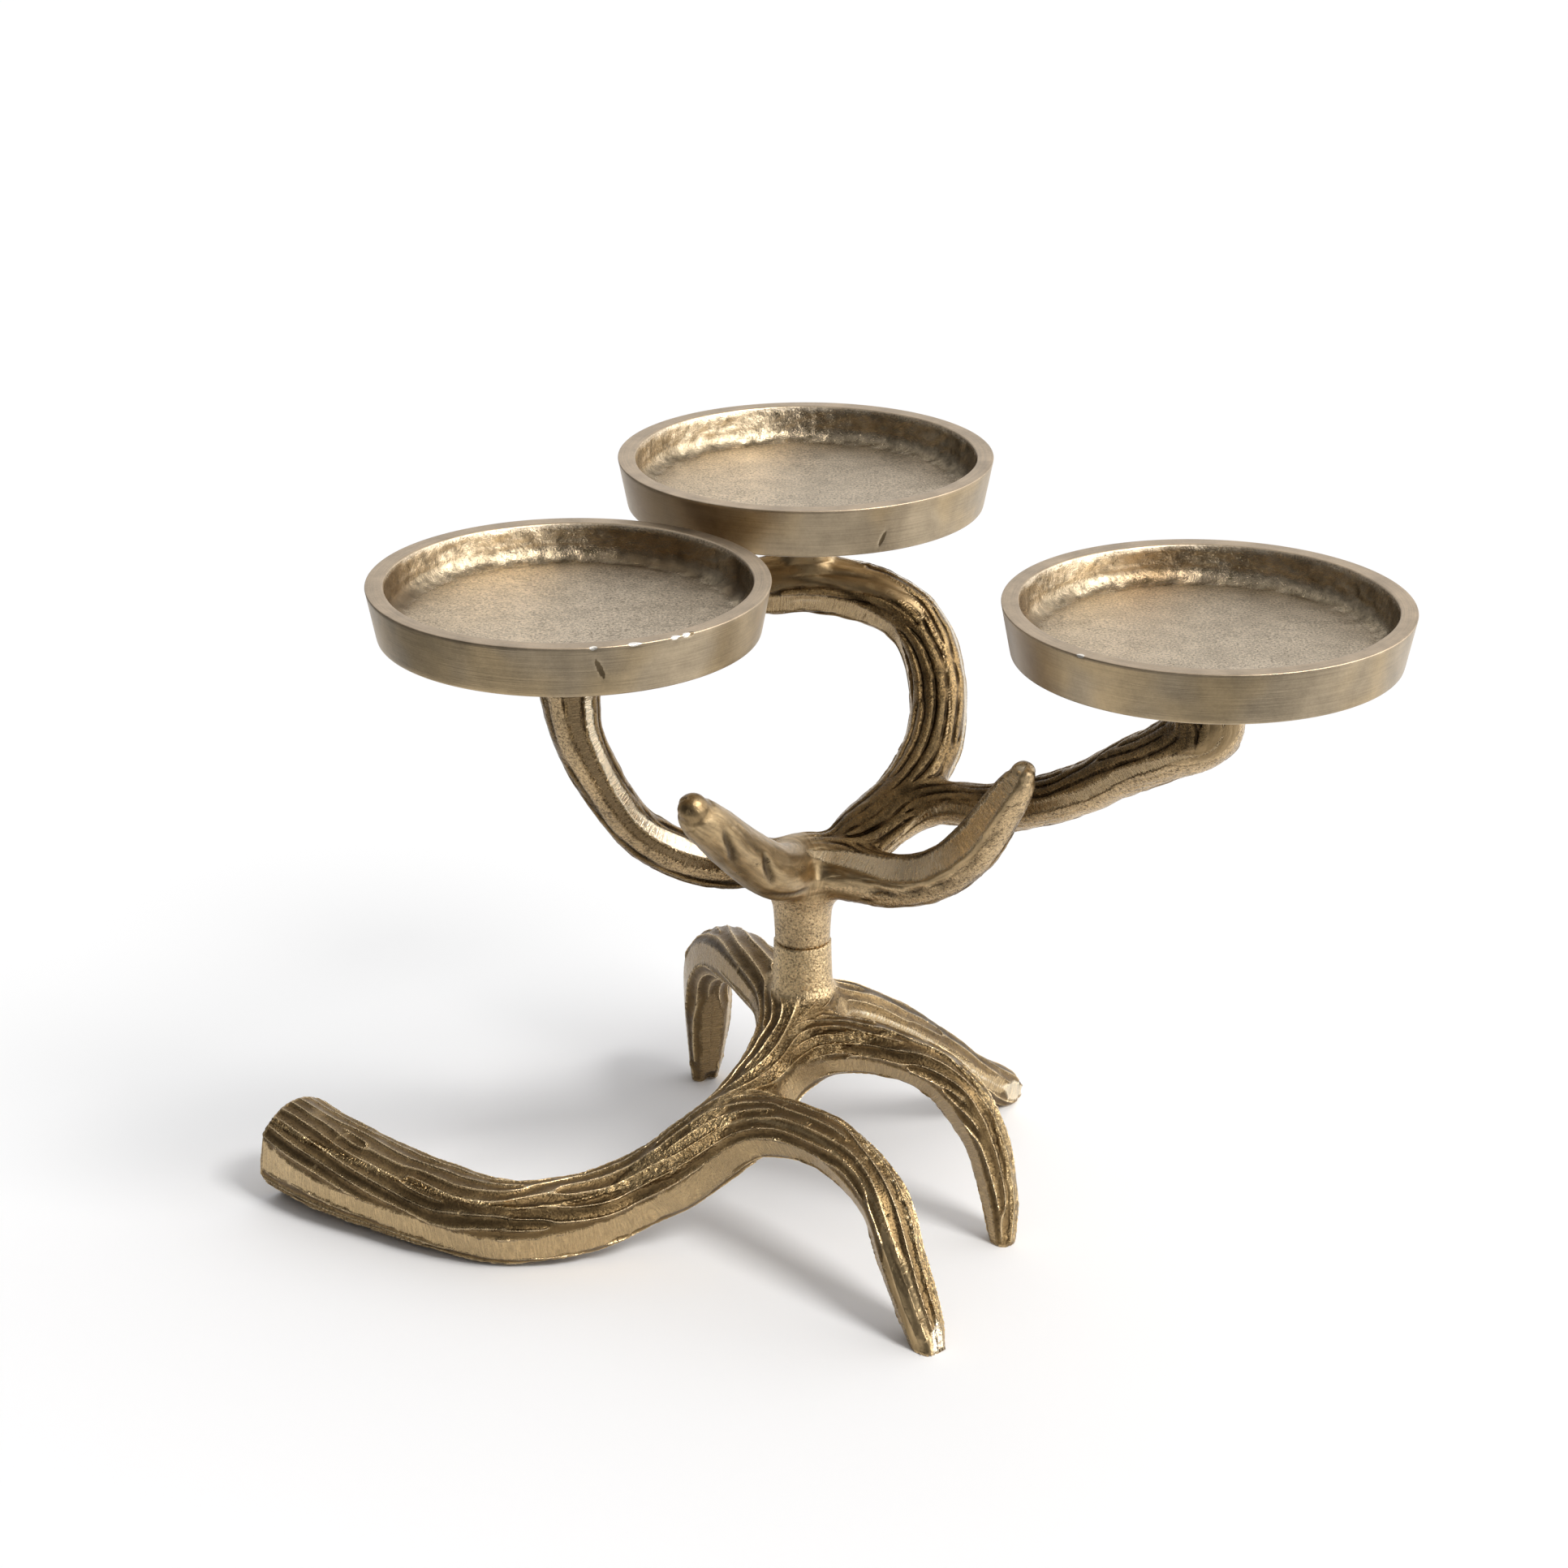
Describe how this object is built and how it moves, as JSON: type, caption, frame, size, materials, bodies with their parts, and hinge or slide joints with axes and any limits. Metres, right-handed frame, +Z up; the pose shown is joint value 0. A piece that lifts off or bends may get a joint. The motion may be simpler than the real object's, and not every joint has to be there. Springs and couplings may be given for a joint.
{
  "type": "candle holder",
  "caption": "Antler-form cast candle holder: a lying base antler, a short two-part post and an upper antler that carries shallow round pans for pillar candles.",
  "frame": {"origin": "on the table under the post, which is the bottom centre of the object's box", "axes": "+Z up along the post, +X to the right as the picture shows it, +Y away from the viewer"},
  "size_m": [0.3356, 0.232, 0.219],
  "materials": {
    "antler_casting": "antique brass, sand cast, dark in the furrows and rubbed bright on the ridges",
    "pan_brass": "brushed antique brass, sand-cast floor",
    "fastener_steel": "zinc plated"
  },
  "bodies": {
    "base": {"lower_antler": "antler_casting", "spring_washer": "fastener_steel"},
    "top": {"upper_antler": "antler_casting", "post_screw": "fastener_steel", "pan_left": "pan_brass", "pan_back": "pan_brass", "pan_right": "pan_brass", "stud_left": "fastener_steel", "stud_back": "fastener_steel", "stud_right": "fastener_steel"}
  },
  "joints": [
    {"name": "post_swivel", "type": "hinge", "parent": "base", "child": "top", "pos_m": [0, 0, 0.0845], "axis": [0, 0, 1], "continuous": true}
  ]
}
